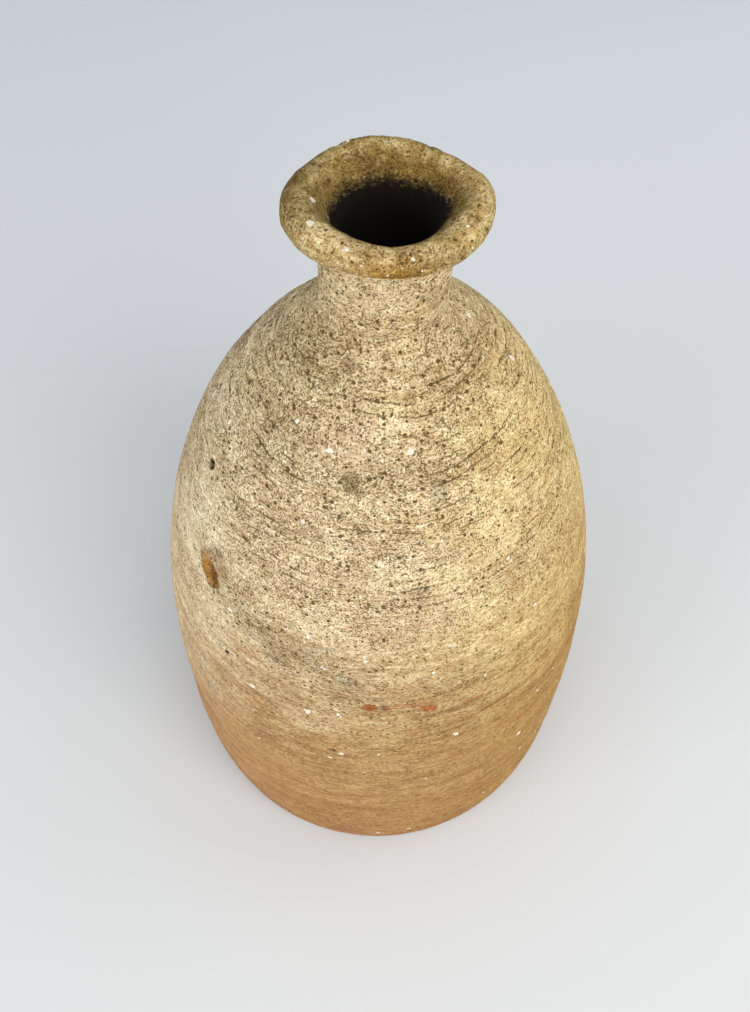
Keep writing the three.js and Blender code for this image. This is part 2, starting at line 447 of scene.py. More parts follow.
class Ground:
    """Where each point of the round surface is, and the noise that its relief and tones share."""

    def __init__(self, base, turn, rows, starts):
        index = np.arange(len(rows))[:, None]
        whole = np.ones_like(turn)
        self.base = base
        self.turn = turn
        self.to_right = np.cos(turn)
        self.to_back = np.sin(turn)
        self.height = base[..., 2]
        self.radius = np.hypot(base[..., 0], base[..., 1])
        self.along_rim = (index - starts["rim"]) / (starts["neck_inside"] - starts["rim"]) * whole
        self.inside = smooth(self.along_rim, 0.72, 1.0)
        self.under = 1 - smooth(index, starts["foot_edge"] - 4, starts["foot_edge"] + 3) * whole
        self.outside = (1 - self.inside) * (1 - self.under)
        self.lip = smooth(self.height, SEAMS["rim"] - 1 * MM, SEAMS["rim"] + 4 * MM)
        self.coarse = self.noise(2.6, 4)
        self.fine = self.noise(1.35, 5)
        self.wobble = self.noise(11, 12)

    def noise(self, size, seed):
        """Noise with features of a size in mm."""
        return noise(self.base / (size * MM), seed)

    def level_noise(self, round_it, up, seed):
        """Noise drawn out round the pot, with its two sizes in mm."""
        return noise(self.base * (np.array([1 / round_it, 1 / round_it, 1 / up]) / MM), seed)


def fine_relief(at, surface):
    """Throwing lines, sand, open pits and the scored grooves."""
    on_shoulder = smooth(at.height, 105 * MM, 150 * MM)
    lines = 0.6 * at.level_noise(30, 3.2, 1) + 0.5 * at.level_noise(16, 1.7, 2)
    patch = 0.55 + 0.45 * at.noise(24, 3)
    pits = smooth(at.noise(1.7, 6), 0.38, 0.75) * (0.35 + 0.65 * on_shoulder)
    big_pits = smooth(at.noise(4.2, 7), 0.55, 0.8) * smooth(at.fine, -0.2, 0.4)
    sand = 0.6 * at.coarse + 0.55 * at.fine
    small = surface.throwing_depth * lines * patch * (1 - 0.75 * at.lip)
    small += surface.sand_depth * sand * (0.6 + 0.4 * on_shoulder + 0.5 * at.lip)
    small -= surface.pit_depth * (pits + 0.6 * big_pits)
    scored = groove_depth(at.turn, at.height, at.wobble) * (0.55 + 0.45 * at.fine)
    return small - scored * (1 - at.inside)


def broad_relief(at, surface):
    """Finger rings, the bulge of the shoulder, the trimmed foot and the lumpy lip."""
    broad = surface.finger_depth * at.level_noise(70, 9, 8) * (1 - at.lip)
    broad += SLOW_WAVES * at.noise(45, 9)
    bulge = np.exp(-(((at.height - BULGE_LEVEL) / (10 * MM)) ** 2))
    broad += SHOULDER_BULGE * bulge * (0.45 + 0.55 * at.to_right)
    low_down = smooth(60 * MM - at.height, 0, 40 * MM)
    broad -= FOOT_TRIM * smooth(at.to_right, -0.2, 1) * low_down * (1 - at.under)
    broad += surface.lip_lump * at.lip * at.noise(6.5, 10)
    broad += 0.45 * surface.lip_lump * at.lip * at.noise(2.9, 11)
    in_front = smooth(-at.to_back, 0.65, 0.98) * smooth(-at.along_rim, -0.46, -0.36)
    return broad - LIP_TRIM * at.lip * in_front


def marks_and_stains(at):
    """Relief of all the marks, and the colour and strength of their stains and of the painted shade in the
    pinholes and the slit.
    """
    stain_and_hole_shade = np.zeros(at.height.shape + (4,))
    marks = np.zeros_like(at.height)
    for _, degrees, level, width, tall, depth, tilt, tint, strength in MARKS:
        away = distance_from(at.turn, at.height, at.radius, degrees, level, width, tall, tilt)
        away = away + 0.18 * at.coarse + 0.12 * at.fine
        cut = smooth(1 - away, 0, 0.75)
        marks -= depth * MM * cut * (1 - at.inside)
        paint = smooth(1.25 - away, 0, 0.45) * strength * (1 - at.inside) * (1 - at.under)
        stain_and_hole_shade[..., :3] += (np.array(tint) - stain_and_hole_shade[..., :3]) * paint[..., None]
        stain_and_hole_shade[..., 3] = np.maximum(stain_and_hole_shade[..., 3], paint)
    return marks, stain_and_hole_shade


def hollow_relief(at):
    """Throwing rings inside the body, which end in the throat."""
    rings = THROWING_RINGS_INSIDE * at.level_noise(60, 11, 13)
    throat = smooth(at.height, 150 * MM, 175 * MM)
    return at.inside * (rings * (1 - throat) + 0.12 * MM * at.coarse)


def underside_relief(at, sizes):
    """The sunk middle of the underside, with a spiral of coils."""
    spiral = at.radius / COIL_SPACING + at.turn / (2 * np.pi) + 0.3 * at.wobble
    coils = (0.5 - 0.5 * np.cos(2 * np.pi * spiral)) * smooth(at.radius, 2 * MM, 8 * MM)
    sunk = UNDERSIDE_SUNK * smooth(sizes.foot_radius - at.radius, 4 * MM, 14 * MM)
    return -at.under * (sunk + COIL_HEIGHT * coils + 0.05 * MM * (1 + at.coarse))


def tone_masks(at, small, sizes):
    """Masks for the materials: sunk and rubbed places, the tones of the lip, painted shade down the throat
    and along the back of the crest, and the fire's patches with one painted highlight under the lip.
    """
    masks = {kind: np.zeros_like(at.height) for kind in ("ash", "pale", "ochre")}
    crest_edge = smooth(at.height, sizes.height - 4 * MM, sizes.height - 0.5 * MM)
    foot_edge = 1 - smooth(np.abs(at.height - 1.5 * MM), 0.5 * MM, 3 * MM) - at.under
    masks["edge"] = np.maximum(0.5 * crest_edge * (1 - at.inside), foot_edge)
    right_side = smooth(at.to_right, 0.3, 1)
    # Painted shade: from just inside the lip down the throat and through the whole inside, the clay goes
    # nearly black.
    throat_painted_shade = np.clip((at.along_rim + 0.05 * right_side - 0.685) / 0.16, 0, 1)
    # Painted shade: a dark line along the outer side of the crest at the back of the rim.
    crest = at.lip * smooth(at.to_back, 0.3, 0.9) * smooth(-at.along_rim, -0.53, -0.46)
    masks["dark"] = np.maximum(throat_painted_shade, 0.42 * crest * smooth(at.along_rim, 0.2, 0.42))
    ragged = at.along_rim + 0.03 * at.coarse + 0.02 * at.fine - 0.012 * right_side
    left_lip = at.lip * smooth(-at.to_right, 0.45, 0.9) * smooth(at.to_back, -0.9, -0.2)
    # Painted shade: the back of the lip takes the funnel tone, most strongly outside the crest.
    behind = 0.4 + 0.5 * smooth(-at.along_rim, -0.55, -0.47)
    back_lip_painted_shade = at.lip * smooth(at.to_back, 0.2, 0.9) * behind
    upper_lip = np.maximum(left_lip, back_lip_painted_shade) * (0.25 + 0.75 * smooth(at.along_rim, 0.12, 0.38))
    masks["funnel"] = np.maximum(smooth(ragged, 0.53, 0.64), upper_lip * (0.85 + 0.35 * at.coarse))
    broken = 0.25 * at.noise(7, 14) + 0.15 * at.coarse
    for kind, degrees, level, width, tall, tilt, strength in PATCHES:
        away = distance_from(at.turn, at.height, at.radius, degrees, level, width, tall, tilt) + broken
        cover = smooth(1.5 - away, 0, 1.1) * strength * at.outside * (0.85 + 0.35 * at.coarse)
        masks[kind] = np.maximum(masks[kind], cover)
    masks = {kind: np.clip(mask, 0, 1) for kind, mask in masks.items()}
    sunk = np.clip(small / (0.2 * MM), -1, 1) * at.outside
    masks["hollow"] = np.clip(sunk + np.clip(at.coarse, -1, 1) * (1 - at.outside) * 0.4, -1, 1)
    return masks


def relief(at, sizes, surface):
    """Height of the clay over the true round shape, and the masks that the materials use."""
    small = fine_relief(at, surface)
    marks, stain_and_hole_shade = marks_and_stains(at)
    total = at.outside * (broad_relief(at, surface) + small + marks)
    total += hollow_relief(at) + underside_relief(at, sizes)
    return total, tone_masks(at, small, sizes), stain_and_hole_shade


def throw_by_hand(points, sizes):
    """Moves points of the round shape to where the leaning, rippled pot has them."""
    turn = np.arctan2(points[..., 1], points[..., 0])
    seam = SEAMS["rim"]
    in_rim = smooth(points[..., 2], seam, sizes.height)
    stretch = 1 + in_rim * (sizes.rim_oval / sizes.rim_radius) * np.cos(2 * turn)
    leaning = np.maximum(points[..., 2] - sizes.lean_start, 0) / (sizes.height - sizes.lean_start)
    rise = sizes.rim_saddle * np.cos(2 * turn)
    rise = rise + sizes.rim_ripple * np.cos(3 * (turn + sizes.rim_ripple_turn))
    from_back = (turn - BACK_OF_LIP + np.pi) % (2 * np.pi) - np.pi
    rise = rise + sizes.rim_back * np.exp(-((from_back / BACK_WIDTH) ** 2))
    moved = points.copy()
    moved[..., 0] = points[..., 0] * stretch + sizes.lean * leaning**sizes.lean_curve
    moved[..., 1] = points[..., 1] * stretch
    moved[..., 2] = points[..., 2] + in_rim * rise
    return moved


class Pot:
    """The whole surface as a grid: rows along the section, and columns round the pot."""

    made = None

    def __init__(self, sizes, surface):
        rows, self.starts = section(sizes, surface)
        columns = np.linspace(0, 2 * np.pi, surface.around, endpoint=False)
        turn = np.broadcast_to(columns, (len(rows), len(columns)))
        run = np.gradient(rows, axis=0)
        run /= np.linalg.norm(run, axis=1, keepdims=True)
        out = run[:, 1][:, None]
        up = -run[:, 0][:, None]
        radius = rows[:, 0][:, None]
        level = rows[:, 1][:, None] * np.ones_like(turn)
        base = np.stack([radius * np.cos(turn), radius * np.sin(turn), level], axis=-1)
        ground = Ground(base, turn, rows, self.starts)
        lift, self.masks, self.stain_and_hole_shade = relief(ground, sizes, surface)
        pushed = radius + out * lift
        raised = np.maximum(level + up * lift, 0)
        shaped = np.stack([pushed * np.cos(turn), pushed * np.sin(turn), raised], axis=-1)
        self.points = throw_by_hand(shaped, sizes)
        across = np.roll(self.points, -1, axis=1) - np.roll(self.points, 1, axis=1)
        along = np.gradient(self.points, axis=0)
        normal = np.cross(across, along)
        self.normals = normal / np.linalg.norm(normal, axis=2, keepdims=True)

    @classmethod
    def get(cls, context):
        """The pot is worked out once and shared by all the pieces."""
        if cls.made is None:
            cls.made = cls(context.scene.bottle_sizes, context.scene.clay_surface)
        return cls.made

    def runs(self, *names):
        """Row numbers of the named stretches, each with both of its end rows."""
        order = list(self.starts)
        found = []
        for first, last in names:
            end = self.starts[order[order.index(last) + 1]]
            found.append(np.arange(self.starts[first], end + 1))
        return found


def ring_faces(row_count, around, closed):
    """Quads between neighbouring rows, and back from the last row to the first if closed."""
    column = np.arange(around)
    following = (column + 1) % around
    pairs = [(i, i + 1) for i in range(row_count - 1)]
    if closed:
        pairs.append((row_count - 1, 0))
    faces = []
    for low, high in pairs:
        below = low * around
        above = high * around
        quad = (below + column, below + following, above + following, above + column)
        faces.append(np.column_stack(quad))
    return np.concatenate(faces)


def added(name, data):
    """Puts an object with this data in the scene."""
    made = bpy.data.objects.new(name, data)
    bpy.context.scene.collection.objects.link(made)
    return made


def clay_piece(context, name, runs, capped=False):
    """A closed piece of clay from runs of rows. A capped one starts and ends on the axis."""
    pot = Pot.get(context)
    rows = np.concatenate(runs)
    around = pot.points.shape[1]
    points = pot.points[rows].reshape(-1, 3)
    normals = pot.normals[rows].reshape(-1, 3)
    faces = [tuple(face) for face in ring_faces(len(rows), around, closed=not capped).tolist()]
    values = {key: mask[rows].ravel() for key, mask in pot.masks.items()}
    stain_and_hole_shade = pot.stain_and_hole_shade[rows].reshape(-1, 4)
    if capped:
        first = len(points)
        ends = (points[:around].mean(axis=0), points[-around:].mean(axis=0))
        top = first - around
        for j in range(around):
            following = (j + 1) % around
            faces.append((first, following, j))
            faces.append((first + 1, top + j, top + following))
        points = np.concatenate([points, ends])
        normals = np.concatenate([normals, [(0, 0, -1), (0, 0, 1)]])
        values = {key: np.concatenate([v, [v[0], v[-1]]]) for key, v in values.items()}
        stain_and_hole_shade = np.concatenate([stain_and_hole_shade, stain_and_hole_shade[:1], stain_and_hole_shade[-1:]])
    mesh = bpy.data.meshes.new(name)
    mesh.from_pydata(points.tolist(), [], faces)
    mesh.polygons.foreach_set("use_smooth", np.ones(len(mesh.polygons), bool))
    for key, value in values.items():
        attribute = mesh.attributes.new(key, "FLOAT", "POINT")
        attribute.data.foreach_set("value", value.astype(np.float32))
    tinted = mesh.attributes.new("stain_and_hole_shade", "FLOAT_COLOR", "POINT")
    tinted.data.foreach_set("color", stain_and_hole_shade.astype(np.float32).ravel())
    mesh.normals_split_custom_set_from_vertices(normals.tolist())
    mesh.validate(clean_customdata=False)
    return added(name, mesh)


def stand_in_for(piece, node, slot):
    """Ties a visible piece to the frame: it rides with the pot and stands for a CAD node."""
    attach(piece, "root")
    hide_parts(node)


# ---------------------------------------------------------------- shader helpers


def node(tree, kind, sockets=None, **settings):
    """Adds a node. Sockets are given a value, or an output to be linked from."""
    made = tree.nodes.new(kind)
    made.location = (190 * (len(tree.nodes) % 12), -260 * (len(tree.nodes) // 12))
    for key, value in settings.items():
        setattr(made, key, value)
    for key, value in (sockets or {}).items():
        if isinstance(value, bpy.types.NodeSocket):
            tree.links.new(value, made.inputs[key])
        else:
            made.inputs[key].default_value = value
    return made


def maths(tree, operation, a, b=0.0, clamp=False):
    return node(tree, "ShaderNodeMath", {0: a, 1: b}, operation=operation, use_clamp=clamp).outputs[0]


def plus(tree, a, b):
    return maths(tree, "ADD", a, b)


def minus(tree, a, b):
    return maths(tree, "SUBTRACT", a, b)


def times(tree, a, b):
    return maths(tree, "MULTIPLY", a, b)


def between(tree, value, low, high, to_low=0.0, to_high=1.0):
    """Smooth rise of a mask between two values."""
    sockets = {"Value": value, "From Min": low, "From Max": high, "To Min": to_low, "To Max": to_high}
    return node(tree, "ShaderNodeMapRange", sockets, interpolation_type="SMOOTHSTEP").outputs["Result"]


def mixed(tree, factor, a, b, blend="MIX"):
    """Mixes two colours, each an output or a plain red, green and blue."""
    sockets = {0: factor}
    for slot, tint in ((6, a), (7, b)):
        sockets[slot] = tint if isinstance(tint, bpy.types.NodeSocket) else (*tint, 1.0)
    return node(tree, "ShaderNodeMix", sockets, data_type="RGBA", blend_type=blend).outputs[2]


def toned(tree, factor, base, tone):
    """Multiplies a colour by a tone, as far as the factor says, so that its grain stays."""
    return mixed(tree, factor, base, tone, blend="MULTIPLY")


def vector_maths(tree, operation, sockets):
    return node(tree, "ShaderNodeVectorMath", sockets, operation=operation).outputs[0]


def axes(tree, position):
    return node(tree, "ShaderNodeSeparateXYZ", {0: position}).outputs


def cells_of(tree, position):
    """Cells about 1 across: the distance from each one's middle, and three random numbers for it."""
    cells = node(tree, "ShaderNodeTexVoronoi", {"Vector": position, "Scale": 1.0}, feature="F1").outputs
    return cells["Distance"], node(tree, "ShaderNodeSeparateColor", {0: cells["Color"]}).outputs


def scaled(tree, position, size, along=1.0):
    """Position counted in steps of a size, longer round the pot than up it."""
    step = (1 / (size * along), 1 / (size * along), 1 / size)
    return vector_maths(tree, "MULTIPLY", {0: position, 1: step})


def cloud(tree, position, size, along=1.0, detail=2.0, roughness=0.5, output="Fac"):
    """Noise with features of a size in metres."""
    sockets = {
        "Vector": scaled(tree, position, size, along),
        "Scale": 1.0,
        "Detail": detail,
        "Roughness": roughness,
    }
    return node(tree, "ShaderNodeTexNoise", sockets).outputs[output]


def new_group(name, inputs, outputs):
    """An empty node group: inputs as (name, kind, default), and the names of its outputs."""
    tree = bpy.data.node_groups.new(name, "ShaderNodeTree")
    for title, kind, default in inputs:
        socket = tree.interface.new_socket(name=title, in_out="INPUT", socket_type="NodeSocket" + kind)
        if default is not None:
            socket.default_value = default
    for title in outputs:
        tree.interface.new_socket(name=title, in_out="OUTPUT", socket_type="NodeSocketFloat")
    entry = tree.nodes.new("NodeGroupInput")
    leave = tree.nodes.new("NodeGroupOutput")
    return tree, entry.outputs, leave.inputs


EFFECTS = {}


def placed(tree, maker, sockets):
    """Places an effect in a material. Its node group is built the first time it is wanted."""
    if maker not in EFFECTS:
        EFFECTS[maker] = maker()
    return node(tree, "ShaderNodeGroup", sockets, node_tree=EFFECTS[maker]).outputs


def finish_group(tree, result, outputs):
    """Leads each named value out of a node group."""
    for name, value in outputs.items():
        tree.links.new(value, result[name])
    return tree


# ---------------------------------------------------------------- effects shared by the clays


def sandy_grain():
    """Coarse sand: grains of mixed tints, dark specks between them, and their height."""
    tree, given, result = new_group(
        "Sandy Grain",
        [
            ("Position", "Vector", None),
            ("Stretch", "Float", 0.0),
            ("Amount", "Float", 0.5),
            ("Hollow", "Float", 0.0),
        ],
        ["Specks", "Mottle", "Pale", "Olive", "Pink", "Blotch", "Height"],
    )
    position = given["Position"]
    picked = {
        0: given["Stretch"],
        2: cloud(tree, position, 0.37 * MM, 1.2, 4.0, 0.70),
        3: cloud(tree, position, 0.28 * MM, 3.2, 3.0, 0.66),
    }
    grain = node(tree, "ShaderNodeMix", picked, data_type="FLOAT").outputs[0]
    crowd = minus(tree, cloud(tree, position, 4.5 * MM, 1.5, 2.0, 0.6), 0.5)
    amount = times(tree, minus(tree, given["Amount"], 0.5), 0.25)
    amount = plus(tree, amount, times(tree, crowd, 0.09))
    amount = minus(tree, amount, times(tree, given["Hollow"], 0.05))
    small_specks = between(tree, minus(tree, grain, amount), 0.41, 0.355)
    softer = minus(tree, grain, times(tree, amount, 0.5))

    # Round pits, a random size in each cell, with ragged edges.
    jitter = cloud(tree, position, 0.5 * MM, 1.0, 2.0, 0.6, output="Color")
    jitter = vector_maths(tree, "SCALE", {0: jitter, "Scale": 0.55 * MM})
    ragged = vector_maths(tree, "ADD", {0: position, 1: jitter})
    from_pit, chance = cells_of(tree, scaled(tree, ragged, 1.25 * MM, 1.25))
    reach = times(tree, chance["Red"], plus(tree, times(tree, amount, 1.6), 0.24))
    pits = between(tree, minus(tree, reach, from_pit), -0.03, 0.07)
    specks = maths(tree, "MAXIMUM", times(tree, small_specks, 0.8), pits)

    from_grain, tints = cells_of(tree, scaled(tree, position, 0.62 * MM, 1.5))
    dome = minus(tree, times(tree, tints["Red"], 0.4), times(tree, from_grain, 0.5))
    blotch = cloud(tree, position, 3.2 * MM, 1.7, 3.0, 0.6)
    outputs = {
        "Specks": specks,
        "Mottle": between(tree, softer, 0.53, 0.40),
        "Pale": between(tree, tints["Red"], 0.35, 0.95),
        "Olive": between(tree, tints["Green"], 0.62, 0.98),
        "Pink": between(tree, tints["Blue"], 0.72, 0.98),
        "Blotch": between(tree, blotch, 0.38, 0.62),
        "Height": minus(tree, dome, specks),
    }
    return finish_group(tree, result, outputs)


def throwing_lines():
    """Level lines left by the turning wheel: fine streaks, and scored lines broken into dashes."""
    tree, given, result = new_group(
        "Throwing Lines",
        [("Position", "Vector", None), ("Scoring", "Float", 0.5)],
        ["Streak", "Scored", "Height"],
    )
    position = given["Position"]
    fine = cloud(tree, position, 0.55 * MM, 22.0, 2.0, 0.6)
    wide = cloud(tree, position, 2.1 * MM, 16.0, 2.0, 0.55)
    both = plus(tree, times(tree, fine, 0.6), times(tree, wide, 0.4))

    # A line every 2 mm up the pot, which wanders, comes and goes.
    wander = times(tree, cloud(tree, position, 22 * MM, 1.6, 2.0, 0.5), 9 * MM)
    phase = maths(tree, "DIVIDE", plus(tree, axes(tree, position)["Z"], wander), 2.0 * MM)
    from_line = maths(tree, "ABSOLUTE", minus(tree, maths(tree, "FRACT", phase), 0.5))
    line = between(tree, from_line, 0.14, 0.04)
    dashes = between(tree, cloud(tree, position, 0.9 * MM, 7.0, 2.0, 0.6), 0.47, 0.56)
    where = between(tree, cloud(tree, position, 13 * MM, 1.8, 2.0, 0.5), 0.36, 0.54)
    scored = times(tree, times(tree, times(tree, line, dashes), where), given["Scoring"])
    outputs = {
        "Streak": between(tree, both, 0.50, 0.40),
        "Scored": scored,
        "Height": minus(tree, both, scored),
    }
    return finish_group(tree, result, outputs)


def kiln_colour():
    """Where the fire coloured the pot: blush and iron low down, browner foot, gold on one side."""
    tree, given, result = new_group(
        "Kiln Colour",
        [("Position", "Vector", None)],
        ["Blush", "Gold", "Brick", "Foot", "Drift"],
    )
    position = given["Position"]
    place = axes(tree, position)
    drift = minus(tree, cloud(tree, position, 26 * MM, 1.4, 3.0, 0.55), 0.5)
    small_drift = minus(tree, cloud(tree, position, 4.5 * MM, 3.0, 2.0, 0.6), 0.5)
    level = plus(tree, place["Z"], times(tree, drift, 70 * MM))
    level = plus(tree, level, times(tree, small_drift, 36 * MM))
    flush = plus(tree, level, times(tree, place["X"], 0.45))
    left_only = maths(tree, "MINIMUM", place["X"], 0.0)
    browner = plus(tree, level, times(tree, left_only, -0.45))
    sideways = plus(tree, place["X"], times(tree, drift, 50 * MM))
    streaks = between(tree, cloud(tree, position, 1.3 * MM, 9.0, 2.0, 0.55), 0.53, 0.66)
    patches = between(tree, cloud(tree, position, 10 * MM, 2.0, 2.0, 0.6), 0.5, 0.64)
    low_band = between(tree, place["Z"], 116 * MM, 92 * MM)
    outputs = {
        "Blush": between(tree, flush, 74 * MM, 14 * MM),
        "Foot": between(tree, browner, 136 * MM, 66 * MM),
        "Gold": between(tree, sideways, -6 * MM, 50 * MM),
        "Brick": times(tree, times(tree, streaks, patches), low_band),
        "Drift": cloud(tree, position, 9 * MM, 1.5, 3.0, 0.6),
    }
    return finish_group(tree, result, outputs)


def white_grains():
    """Scattered white grains in the clay, too small to be modelled one by one."""
    tree, given, result = new_group(
        "White Grains",
        [("Position", "Vector", None), ("Size", "Float", 0.5), ("Share", "Float", 0.2)],
        ["Grain"],
    )
    spacing = 3.2 * MM
    jitter = cloud(tree, given["Position"], 1.1 * MM, detail=1.0, output="Color")
    jitter = vector_maths(tree, "SUBTRACT", {0: jitter, 1: (0.5, 0.5, 0.5)})
    jitter = vector_maths(tree, "SCALE", {0: jitter, "Scale": 0.35})
    bent = vector_maths(tree, "ADD", {0: scaled(tree, given["Position"], spacing), 1: jitter})
    from_grain, chance = cells_of(tree, bent)
    chosen = maths(tree, "LESS_THAN", chance["Red"], given["Share"])
    reach = times(tree, times(tree, chance["Green"], given["Size"]), 0.32)
    spot = between(tree, minus(tree, reach, from_grain), -0.03, 0.05)
    return finish_group(tree, result, {"Grain": times(tree, spot, chosen)})


def edge_wear():
    """Rubbed edges, broken up by the sand."""
    tree, given, result = new_group(
        "Edge Wear",
        [("Position", "Vector", None), ("Edge", "Float", 0.0), ("Amount", "Float", 0.5)],
        ["Wear"],
    )
    rough = cloud(tree, given["Position"], 2.2 * MM, 1.5, 3.0, 0.65)
    lifted = times(tree, plus(tree, rough, -0.1), given["Edge"])
    mask = between(tree, lifted, 0.25, 0.55)
    return finish_group(tree, result, {"Wear": times(tree, mask, given["Amount"])})


# ---------------------------------------------------------------- materials


# Tones that the clay's colour is multiplied by, and the colour of the pinker white grains.
BLOTCH_TONE = (0.80, 0.77, 0.70)
LIP_SPOT_TONE = (0.76, 0.70, 0.55)
DRIFT_TONE = (0.90, 0.86, 0.85)
STREAK_TONE = (0.68, 0.57, 0.40)
MOTTLE_TONE = (0.58, 0.47, 0.30)
PINKER_GRAIN = (0.72, 0.62, 0.52)


def attribute(tree, name):
    return node(tree, "ShaderNodeAttribute", attribute_name=name).outputs["Fac"]


def new_material(name):
    """A material, with its tree, its shader and the position on the object."""
    material = bpy.data.materials.new(name)
    material.use_nodes = True
    tree = material.node_tree
    position = node(tree, "ShaderNodeTexCoord").outputs["Object"]
    return material, tree, tree.nodes["Principled BSDF"], position


def finish_shader(tree, shader, base, rough, bump):
    """Gives the shader its colour, its roughness and its bumps: height, strength and distance."""
    height, strength, distance = bump
    sockets = {"Height": height, "Strength": strength, "Distance": distance}
    tree.links.new(base, shader.inputs["Base Color"])
    tree.links.new(rough, shader.inputs["Roughness"])
    tree.links.new(node(tree, "ShaderNodeBump", sockets).outputs["Normal"], shader.inputs["Normal"])


def fired_clay(name, colours, wear):
    """Coarse fired clay. Every ring uses it, so the colour runs on across the seams."""
    material, tree, shader, position = new_material(name)
    height = axes(tree, position)["Z"]
    ash = attribute(tree, "ash")
    funnel = attribute(tree, "funnel")
    pale = attribute(tree, "pale")
    on_lip = between(tree, height, 188 * MM, 195 * MM)
    on_neck = between(tree, height, 150 * MM, 172 * MM, 0.0, 0.55)
    over_belly = between(tree, height, 112 * MM, 140 * MM)
    under_neck = between(tree, height, 176 * MM, 166 * MM)
    scored_zone = {"Position": position, "Scoring": times(tree, over_belly, under_neck)}
    kiln = placed(tree, kiln_colour, {"Position": position})
    lines = placed(tree, throwing_lines, scored_zone)

    # How much of the clay is specks: more up the pot, in ash and in scored lines, less on the lip.
    amount = between(tree, height, 24 * MM, 134 * MM, 0.24, 0.72)
    changes = [
        (ash, 0.18),
        (funnel, 0.08),
        (lines["Scored"], 0.55),
        (on_lip, -0.14),
        (kiln["Gold"], -0.10),
        (pale, -0.14),
    ]
    for mask, more in changes:
        amount = plus(tree, amount, times(tree, mask, more))
    sandy = {
        "Position": position,
        "Stretch": between(tree, height, 128 * MM, 88 * MM, 0.0, 0.85),
        "Amount": amount,
        "Hollow": attribute(tree, "hollow"),
    }
    grain = placed(tree, sandy_grain, sandy)
    whites = placed(tree, white_grains, {"Position": position, "Size": 0.9, "Share": 0.07})
    rubbing = {"Position": position, "Edge": attribute(tree, "edge"), "Amount": wear}
    worn = placed(tree, edge_wear, rubbing)

    base = colours.clay
    tints = [
        (grain["Pale"], 0.55, colours.pale),
        (grain["Olive"], 0.55, colours.olive),
        (grain["Pink"], 0.5, colours.pink),
        # Pale patches, one of them a painted highlight on the neck under the lip.
        (pale, 0.5, colours.pale),
        (worn["Wear"], 0.6, colours.pale),
    ]
    for mask, strength, tint in tints:
        base = mixed(tree, times(tree, mask, strength), base, tint)
    blotch = times(tree, grain["Blotch"], plus(tree, times(tree, on_lip, 0.4), 0.5))
    lip_spots = between(tree, cloud(tree, position, 2.4 * MM, 1.2, 4.0, 0.62), 0.42, 0.60)
    tones = [
        (blotch, BLOTCH_TONE),
        (times(tree, lip_spots, on_lip), LIP_SPOT_TONE),
        (between(tree, kiln["Drift"], 0.44, 0.60), DRIFT_TONE),
        (maths(tree, "MAXIMUM", on_lip, on_neck), colours.lip),
        (kiln["Gold"], colours.warm),
        (ash, colours.ash),
        (kiln["Blush"], colours.blush),
        (kiln["Foot"], colours.foot),
        (attribute(tree, "ochre"), colours.ochre),
        # Funnel tone: browner clay inside the lip, and painted shade on the back of the lip.
        (funnel, colours.funnel),
    ]
    for mask, tone in tones:
        base = toned(tree, mask, base, tone)
    base = mixed(tree, times(tree, kiln["Brick"], 0.5), base, colours.brick)
    # Stains, and the painted shade of the pinholes and the slit, from the marks.
    stain_and_hole_shade = node(tree, "ShaderNodeAttribute", attribute_name="stain_and_hole_shade").outputs
    ragged = maths(tree, "MULTIPLY", stain_and_hole_shade["Alpha"], plus(tree, grain["Pale"], 0.9), clamp=True)
    base = mixed(tree, ragged, base, stain_and_hole_shade["Color"])
    streak = times(tree, lines["Streak"], between(tree, height, 124 * MM, 92 * MM, 0.45, 0.65))
    base = toned(tree, streak, base, STREAK_TONE)
    base = toned(tree, times(tree, grain["Mottle"], 0.75), base, MOTTLE_TONE)
    base = mixed(tree, times(tree, grain["Specks"], 0.93), base, colours.speck)
    base = mixed(tree, times(tree, whites["Grain"], 0.85), base, colours.grain)
    # Painted shade: the throat and the whole inside go nearly black, and the back of the crest darkens.
    deep = minus(tree, attribute(tree, "dark"), times(tree, grain["Pale"], 0.18))
    deep = plus(tree, deep, times(tree, grain["Specks"], 0.22))
    base = mixed(tree, between(tree, deep, 0.18, 0.80), base, colours.inside)

    rough = between(tree, grain["Specks"], 0.0, 1.0, 0.86, 0.97)
    rough = minus(tree, rough, times(tree, kiln["Foot"], 0.10))
    rough = minus(tree, rough, times(tree, whites["Grain"], 0.35))
    coarser = between(tree, height, 20 * MM, 110 * MM, 0.4, 1.0)
    raised = times(tree, grain["Height"], coarser)
    raised = plus(tree, raised, times(tree, lines["Height"], 1.2))
    raised = plus(tree, raised, times(tree, whites["Grain"], 0.6))
    finish_shader(tree, shader, base, rough, (raised, 0.6, 0.13 * MM))
    shader.inputs["Specular IOR Level"].default_value = 0.12
    return material


def feldspar(name, colours):
    """Glassy white grains, greyer and pinker in places."""
    material, tree, shader, position = new_material(name)
    tone = between(tree, cloud(tree, position, 2.0 * MM, 1.0, 2.0, 0.6), 0.35, 0.65)
    dirt = between(tree, cloud(tree, position, 0.4 * MM, 1.0, 2.0, 0.6), 0.56, 0.70)
    base = mixed(tree, tone, colours.grain, PINKER_GRAIN)
    base = mixed(tree, times(tree, dirt, 0.5), base, colours.clay)
    rough = between(tree, dirt, 0.0, 1.0, 0.45, 0.8)
    finish_shader(tree, shader, base, rough, (dirt, 0.4, 0.08 * MM))
    return material


# ---------------------------------------------------------------- operators


def both_sides(wall):
    """The outside and the inside of a wall ring."""
    return tuple((wall + side, wall + side) for side in ("_outside", "_inside"))


